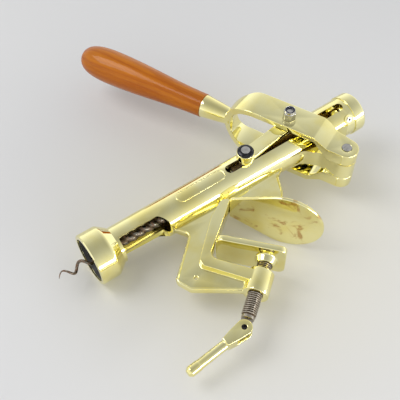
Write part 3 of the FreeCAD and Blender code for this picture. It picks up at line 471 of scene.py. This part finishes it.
SCREW_PITCH, SCREW_CREST, SCREW_DEPTH = 1.75 * MM, 6.05 * MM, 1.05 * MM
NECK_START, NECK_END, NECK_RADIUS, NECK_BREAK = 8.6 * MM, 11.2 * MM, 5.3 * MM, 0.7 * MM
TONGUE_HALF_WIDE, TONGUE_HALF_THICK, TONGUE_HOLE = 4.55 * MM, 2.6 * MM, 2.16 * MM
THREAD_OVERLAP, TONGUE_OVERLAP = 0.3 * MM, 0.4 * MM


def make_clamp_screw():
    """The clamp's screw: a full thread, a plain dark neck and a round-ended tongue with a hole."""
    joint = JOINTS["screw_turn"]
    pin = mean([Vector(corner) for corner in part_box("lever_pin")])
    towards_jaw = mean(corners("pressure_pad")) - pin
    along = Vector(joint["axis"])
    if along.dot(towards_jaw) < 0:
        along.negate()
    axis = Axis(pin, along)
    start, end, _ = axis.reach("clamp_screw")
    work = bmesh.new()
    threaded(work, axis, NECK_END - THREAD_OVERLAP, end, SCREW_PITCH, SCREW_CREST - SCREW_DEPTH,
             SCREW_CREST)
    turned(work, axis, [(NECK_START, NECK_RADIUS - NECK_BREAK), (NECK_START + 0.5 * MM, NECK_RADIUS),
                        (NECK_END, NECK_RADIUS)])
    add_tongue(work, axis, -start, NECK_START + TONGUE_OVERLAP)
    piece = add_piece("clamp_screw_threaded", finished_mesh("clamp_screw_threaded", work, 40.0),
                      LOOKS["screw"], BODY_OF["clamp_screw"], ["clamp_screw"])
    # Faces deep in the grooves get painted shade.
    groove_shade_level = SCREW_CREST - SCREW_DEPTH * 0.55
    darken_grooves(piece, axis, NECK_END, end - 0.1 * MM, groove_shade_level, LOOKS["groove"])


def add_tongue(work, axis, behind, ahead, segments=64):
    """A flat tongue around the lever pin's hole, round at its free end."""
    rings = []
    for side, radius in ((1.0, None), (1.0, TONGUE_HOLE), (-1.0, TONGUE_HOLE), (-1.0, None)):
        ring = []
        for turn in turns_of(segments):
            ray = axis.along * math.cos(turn) + axis.across * math.sin(turn)
            reach = radius or tongue_reach(turn, behind, ahead, TONGUE_HALF_WIDE)
            ring.append(axis.origin + ray * reach + axis.aside * side * TONGUE_HALF_THICK)
        rings.append(ring)
    skin_rings(work, rings, closed=True)


def tongue_reach(turn, behind, ahead, half_wide):
    """Distance from the hole's centre to the tongue's outline in one direction."""
    forward, aside = math.cos(turn), abs(math.sin(turn))
    if forward > 0:
        return min(ahead / forward, half_wide / aside if aside > 1e-6 else ahead)
    return behind if aside < 1e-6 else min(behind, half_wide / aside)


WORM_LEAD, WORM_HAND = 16.0 * MM, -1.0
WIRE_RADIUS, WIRE_CLEARANCE = 1.3 * MM, 0.05 * MM
POINT_LENGTH, POINT_SHARE = 15.0 * MM, 0.16     # the share of the wire's thickness left at the tip
SHANK_CREST, SHANK_DEPTH, SHANK_STEM = 4.4 * MM, 1.3 * MM, 4.0 * MM
COLLAR_PLACE, COLLAR_STEP = 139.0 * MM, 1.5 * MM
BARREL_AXIS = Axis((0, 0, 0), (1, 0, 0))


def make_worm_wire():
    """The wire worm with its long ground point."""
    start, end, outer = BARREL_AXIS.reach("worm")
    coil = outer - WIRE_RADIUS - WIRE_CLEARANCE
    tip = mean([point for point in corners("worm") if point.x < start + 0.8 * MM])
    phase = math.atan2(tip.y, tip.z)
    first = start + WIRE_RADIUS
    count = 300
    path = []
    for i in range(count):
        place = first + (end - start - 2 * WIRE_RADIUS) * i / (count - 1)
        turn = phase + 2 * math.pi * (place - first) / WORM_LEAD * WORM_HAND
        path.append(Vector((place, coil * math.sin(turn), coil * math.cos(turn))))

    def section(share):
        gone = share * (end - start)
        ground = min(1.0, POINT_SHARE + (1.0 - POINT_SHARE) * (gone / POINT_LENGTH) ** 0.8)
        return oval(WIRE_RADIUS * ground, WIRE_RADIUS * ground)

    work = bmesh.new()
    swept(work, path, section, off_barrel_axis)
    add_piece("worm_wire", finished_mesh("worm_wire", work, 60.0), LOOKS["worm"], BODY_OF["worm"],
              ["worm"])


def make_worm_shaft():
    """The two-start screw that drives the worm, with its collar and the stem in the carriage."""
    front, back, collar = BARREL_AXIS.reach("worm_shank")
    work = bmesh.new()
    threaded(work, BARREL_AXIS, front + 0.5 * MM, COLLAR_PLACE, WORM_LEAD, SHANK_CREST - SHANK_DEPTH,
             SHANK_CREST, starts=2, sharp=0.7, rows=14)
    carriage_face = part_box("carriage")[0][0]
    turned(work, BARREL_AXIS, [(COLLAR_PLACE - COLLAR_STEP, SHANK_CREST - 0.8 * MM),
                               (COLLAR_PLACE, collar - 0.5 * MM), (COLLAR_PLACE + COLLAR_STEP, collar),
                               (carriage_face - COLLAR_STEP, collar),
                               (carriage_face - COLLAR_STEP, SHANK_STEM), (back, SHANK_STEM)])
    piece = add_piece("worm_shaft", finished_mesh("worm_shaft", work, 50.0), LOOKS["shaft"],
                      BODY_OF["worm_shank"], ["worm_shank"])
    # Painted shade in the shaft's thread grooves.
    darken_grooves(piece, BARREL_AXIS, front + COLLAR_STEP, COLLAR_PLACE - COLLAR_STEP,
                   SHANK_CREST - SHANK_DEPTH * 0.6, LOOKS["groove"])


WASHER_BORE, WASHER_THICK = 3.97 * MM, 2.0 * MM


def make_pin_washers():
    """Domed black push-on washers over both ends of the cross pin."""
    low, high = (Vector(corner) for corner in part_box("pin_washers"))
    centre = (low + high) / 2
    radius = (high.x - low.x) / 2
    top = high.z
    bottom = top - WASHER_THICK
    quarter = WASHER_THICK / 4
    dome = [(bottom, WASHER_BORE), (bottom, radius - 0.2 * MM), (bottom + quarter, radius),
            (bottom + 2 * quarter, radius - 0.35 * MM), (bottom + 3 * quarter, radius - 1.2 * MM),
            (top - 0.12 * MM, radius - 2.2 * MM), (top, WASHER_BORE + 0.35 * MM),
            (top - 0.1 * MM, WASHER_BORE)]
    work = bmesh.new()
    for side in (1.0, -1.0):
        axis = Axis((centre.x, centre.y, 0.0), (0, 0, side), (1, 0, 0))
        turned(work, axis, dome, segments=64, closed=True)
    add_piece("domed_washers", finished_mesh("domed_washers", work, 50.0), LOOKS["black"],
              BODY_OF["pin_washers"], ["pin_washers"])


BARREL_FRONT, BARREL_BACK = 18.0 * MM, 272.0 * MM
BARREL_FRONT_RADIUS, BARREL_BACK_RADIUS = 16.0 * MM, 18.0 * MM
OUTLINE_MIDDLE, OUTLINE_BEAD = 110.5 * MM, 0.34 * MM
OUTLINE_HALF_LONG, OUTLINE_HALF_WIDE = 24.0 * MM, 5.2 * MM


def on_barrel(place, aside):
    """The point on the tapered barrel's top at a place along it and a distance round it."""
    share = (place - BARREL_FRONT) / (BARREL_BACK - BARREL_FRONT)
    radius = BARREL_FRONT_RADIUS + (BARREL_BACK_RADIUS - BARREL_FRONT_RADIUS) * share
    turn = aside / radius
    return Vector((place, radius * math.sin(turn), radius * math.cos(turn)))


def make_cartouche():
    """A plain raised outline on the barrel's top, with round ends and nothing inside it."""
    straight = OUTLINE_HALF_LONG - OUTLINE_HALF_WIDE
    arc_steps, side_steps = 24, 20
    path = []
    for end in (1.0, -1.0):
        for i in range(arc_steps + 1):
            turn = math.pi * i / arc_steps - math.pi / 2
            place = OUTLINE_MIDDLE + end * (straight + OUTLINE_HALF_WIDE * math.cos(turn))
            path.append(on_barrel(place, end * OUTLINE_HALF_WIDE * math.sin(turn)))
        for i in range(1, side_steps):
            place = OUTLINE_MIDDLE + end * straight * (1 - 2 * i / side_steps)
            path.append(on_barrel(place, end * OUTLINE_HALF_WIDE))
    work = bmesh.new()
    swept(work, path, lambda share: oval(OUTLINE_BEAD * 1.5, OUTLINE_BEAD), off_barrel_axis, closed=True)
    add_piece("barrel_cartouche", finished_mesh("barrel_cartouche", work, 60.0), LOOKS["brass"],
              BODY_OF["barrel"])


WEB_HALF_THICK = 2.6 * MM
RIM_HALF_WIDE, RIM_HALF_HIGH, RIM_INSET = 1.4 * MM, 3.9 * MM, 0.9 * MM
RIM_SHORTEST, RIM_STEP = 12.0 * MM, 1.2 * MM


def outline_edges(work, level):
    """The edges where a flat face at one height meets a side wall that goes down from it at least as
    far below the middle plane, each with the wall's outward normal."""
    near = 0.02 * MM
    found = []
    for edge in work.edges:
        if len(edge.link_faces) != 2 or any(abs(v.co.z - level) > near for v in edge.verts):
            continue
        flats = [face for face in edge.link_faces if abs(face.normal.z) > 0.99]
        walls = [face for face in edge.link_faces if abs(face.normal.z) < 0.05]
        if len(flats) != 1 or len(walls) != 1:
            continue
        heights = [v.co.z for v in walls[0].verts]
        if min(heights) <= near - level and max(heights) <= level + near:
            found.append((*edge.verts, walls[0].normal.copy()))
    return found


def outline_chains(node, level):
    """Open runs of outline edges as lists of points on the middle plane, each with the side of it
    that the metal is on: 1.0 on the left, -1.0 on the right."""
    work = bmesh.new()
    work.from_mesh(NODES[node].data)
    bmesh.ops.remove_doubles(work, verts=work.verts, dist=SAME_POINT)
    links = {}
    outward = {}
    for first, second, normal in outline_edges(work, level):
        links.setdefault(first, []).append(second)
        links.setdefault(second, []).append(first)
        outward[frozenset((first, second))] = normal
    ends = sorted((v for v in links if len(links[v]) == 1), key=lambda v: tuple(v.co))
    chains = []
    used = set()
    for end in ends:
        if end in used:
            continue
        chain = [end]
        onward = links[end]
        while onward:
            chain.append(onward[0])
            onward = [v for v in links[chain[-1]] if v not in chain]
        used.update((chain[0], chain[-1]))
        ahead = chain[1].co - chain[0].co
        left = Vector((-ahead.y, ahead.x, 0.0))
        side = -1.0 if left.dot(outward[frozenset(chain[:2])]) > 0 else 1.0
        chains.append(([Vector((v.co.x, v.co.y, 0.0)) for v in chain], side))
    work.free()
    return chains


def make_web_rim():
    """The bead cast along the free edges of the clamp's web."""
    work = bmesh.new()
    for chain, side in outline_chains("clamp_frame", WEB_HALF_THICK):
        if sum((b - a).length for a, b in zip(chain, chain[1:])) < RIM_SHORTEST:
            continue
        line = resampled(chain, RIM_STEP)
        middles = []
        for i, point in enumerate(line):
            ahead = (line[min(i + 1, len(line) - 1)] - line[max(i - 1, 0)]).normalized()
            middles.append(point + Vector((-ahead.y, ahead.x, 0.0)) * RIM_INSET * side)
        swept(work, middles, lambda share: oval(RIM_HALF_WIDE, RIM_HALF_HIGH, 18),
              lambda point: Vector((0, 0, 1)))
    add_piece("web_rim", finished_mesh("web_rim", work, 60.0), LOOKS["brass"], BODY_OF["clamp_frame"])


def resampled(path, step):
    """Evenly spaced points along a line of points."""
    spread = [path[0]]
    for first, second in zip(path, path[1:]):
        parts = max(1, round((second - first).length / step))
        spread += [first.lerp(second, i / parts) for i in range(1, parts + 1)]
    return spread


# ---------------------------------------------------------------- studio

FLOOR_HALF, FLOOR_DROP = 2.2, 0.3 * MM
FLOOR_MIDDLE_SHIFT = Vector((0.02, -0.02, 0.0))


def make_floor():
    """The surface that the object lies on: its plane runs within a millimetre of the lowest points of
    the bell, a lock nut and the fixed jaw."""
    spots = [lowest_point(node) for node in ("bell", "lock_nuts", "clamp_plate")]
    square = (spots[1] - spots[0]).cross(spots[2] - spots[0]).normalized()
    if square.z < 0:
        square.negate()
    centre = mean(spots) - square * FLOOR_DROP
    # This shift moves the floor's middle, and with it the centre of the painted warm glow.
    centre += FLOOR_MIDDLE_SHIFT - square * square.dot(FLOOR_MIDDLE_SHIFT)
    turn = square.to_track_quat("Z", "Y").to_matrix().to_4x4()
    outline = [(x * FLOOR_HALF, y * FLOOR_HALF, 0) for x, y in ((-1, -1), (1, -1), (1, 1), (-1, 1))]
    mesh = bpy.data.meshes.new("studio_floor")
    mesh.from_pydata(outline, [], [(0, 1, 2, 3)])
    floor = bpy.data.objects.new("studio_floor", mesh)
    bpy.context.scene.collection.objects.link(floor)
    floor.matrix_world = Matrix.Translation(centre) @ turn
    mesh.materials.append(floor_material())


def add_light(name, place, target, size, power):
    light = bpy.data.lights.new(name, "AREA")
    light.shape = "RECTANGLE"
    light.size, light.size_y = size
    light.energy = power
    lamp = bpy.data.objects.new(name, light)
    bpy.context.scene.collection.objects.link(lamp)
    aim = Vector(target) - Vector(place)
    lamp.matrix_world = Matrix.Translation(place) @ aim.to_track_quat("-Z", "Y").to_matrix().to_4x4()


ROOM_HORIZON, ROOM_ZENITH = 1.18, 0.42
HORIZON_HEIGHT, ZENITH_HEIGHT = 0.10, 1.0


def make_world():
    """A white room: bright at the horizon, dimmer overhead."""
    world = bpy.data.worlds.new("studio")
    world.use_nodes = True
    tree = world.node_tree
    background = tree.nodes["Background"]
    place = tree.nodes.new("ShaderNodeTexCoord")
    split = tree.nodes.new("ShaderNodeSeparateXYZ")
    tree.links.new(place.outputs["Generated"], split.inputs[0])
    height = tree.nodes.new("ShaderNodeMapRange")
    tree.links.new(split.outputs[2], height.inputs[0])
    limits = (HORIZON_HEIGHT, ZENITH_HEIGHT, ROOM_HORIZON, ROOM_ZENITH)
    for socket, number in zip(list(height.inputs)[1:], limits):
        socket.default_value = number
    tree.links.new(height.outputs[0], background.inputs["Strength"])
    background.inputs["Color"].default_value = (0.985, 0.99, 1.0, 1.0)
    bpy.context.scene.world = world


def make_lights():
    """Soft boxes: one low in front, whose reflection runs along the barrel, and one overhead."""
    middle = (0.14, 0.0, 0.0)
    add_light("front_softbox", (0.42, -0.95, 0.20), middle, (1.3, 0.16), 7.5)
    add_light("key_softbox", (-0.45, 0.55, 1.05), middle, (0.7, 0.7), 6.0)


# Angles in degrees, the lens in millimetres on a sensor 36 mm wide.
CAMERA_PLACE = Vector((-77.8, -285.9, 484.4)) * MM
CAMERA_YAW = 56.757
CAMERA_PITCH = 55.015
CAMERA_ROLL = -1.546
CAMERA_LENS = 61.61


def make_camera():
    """The camera looks down at the object from in front of the bell, on the side away from the lever."""
    yaw, pitch, roll = (math.radians(angle) for angle in (CAMERA_YAW, CAMERA_PITCH, CAMERA_ROLL))
    ahead = Vector((math.cos(yaw) * math.cos(pitch), math.sin(yaw) * math.cos(pitch), -math.sin(pitch)))
    level = Vector((math.sin(yaw), -math.cos(yaw), 0.0))
    above = level.cross(ahead)
    right = level * math.cos(roll) + above * math.sin(roll)
    up = above * math.cos(roll) - level * math.sin(roll)
    data = bpy.data.cameras.new("camera")
    data.sensor_width = 36.0
    data.lens = CAMERA_LENS
    camera = bpy.data.objects.new("camera", data)
    bpy.context.scene.collection.objects.link(camera)
    turn = Matrix((right, up, -ahead)).transposed().to_4x4()
    camera.matrix_world = Matrix.Translation(CAMERA_PLACE) @ turn
    bpy.context.scene.camera = camera


# ---------------------------------------------------------------- build

HINGE = Vector(JOINTS["lever_swing"]["pos_m"])
TANG_NEAR, TANG_FAR = end_centres("handle_tang", HINGE)
GRIP_AXIS = (TANG_FAR - TANG_NEAR).normalized()

LOOKS = {
    "barrel": brass("barrel_brass", bore=True),
    "brass": brass("polished_brass"),
    "plate": brass("plate_brass", spots=0.15, matt=0.03),
    "steel": steel("nickel_steel"),
    "worm": rusty_steel("worm_steel"),
    "wood": varnished_wood("varnished_wood", GRIP_AXIS),
    "liner": moulded("liner_rubber", (0.010, 0.010, 0.010), (0.035, 0.034, 0.032)),
    "screw": steel("screw_steel", (0.50, 0.45, 0.37), 0.25),
    "black": blackened("blackened_steel"),
    # Nearly black: painted shade for the carriage deep inside the barrel.
    "carriage": shade_dark_steel("carriage_steel"),
    # Painted shade for the bottoms of thread grooves.
    "groove": shade_dark_steel("thread_groove_painted_shade"),
    "shaft": rusty_steel("shaft_steel", bright_share=0.03),
    "nylon": moulded("blue_black_nylon", (0.010, 0.012, 0.030), (0.03, 0.035, 0.07), (0.2, 0.4)),
}
LOOK_OF_SLOT = {"polished_brass": "brass", "liner_black": "liner", "varnished_wood": "wood",
                "nickel_steel": "steel", "black_nylon": "nylon", "worm_steel": "worm"}
LOOK_OF_NODE = {"barrel": "barrel", "carriage": "carriage", "cross_pin": "steel", "lever_pin": "black"}
BROKEN_EDGES = {"clamp_frame": (0.7 * MM, "brass"), "lever_yoke": (0.8 * MM, "brass"),
                "clamp_plate": (1.1 * MM, "plate"), "pressure_pad": (1.0 * MM, "brass"),
                "screw_lever": (0.6 * MM, "brass"), "upper_link": (0.5 * MM, "brass"),
                "lower_link": (0.5 * MM, "brass"), "end_cap": (0.5 * MM, "brass"),
                "lock_nuts": (0.35 * MM, "steel")}


def dress_cad_nodes():
    """Give every CAD node the look of its slot, or its own."""
    for node, thing in NODES.items():
        look = LOOK_OF_NODE.get(node, LOOK_OF_SLOT[SLOT_OF[node]])
        thing.data.materials.clear()
        thing.data.materials.append(LOOKS[look])


bpy.context.scene.view_settings.view_transform = "Standard"
make_camera()
make_floor()
make_world()
make_lights()
dress_cad_nodes()
for node, (width, look) in BROKEN_EDGES.items():
    finished_edges(node, width, LOOKS[look])
make_clamp_screw()
make_worm_wire()
make_worm_shaft()
make_pin_washers()
make_cartouche()
make_web_rim()
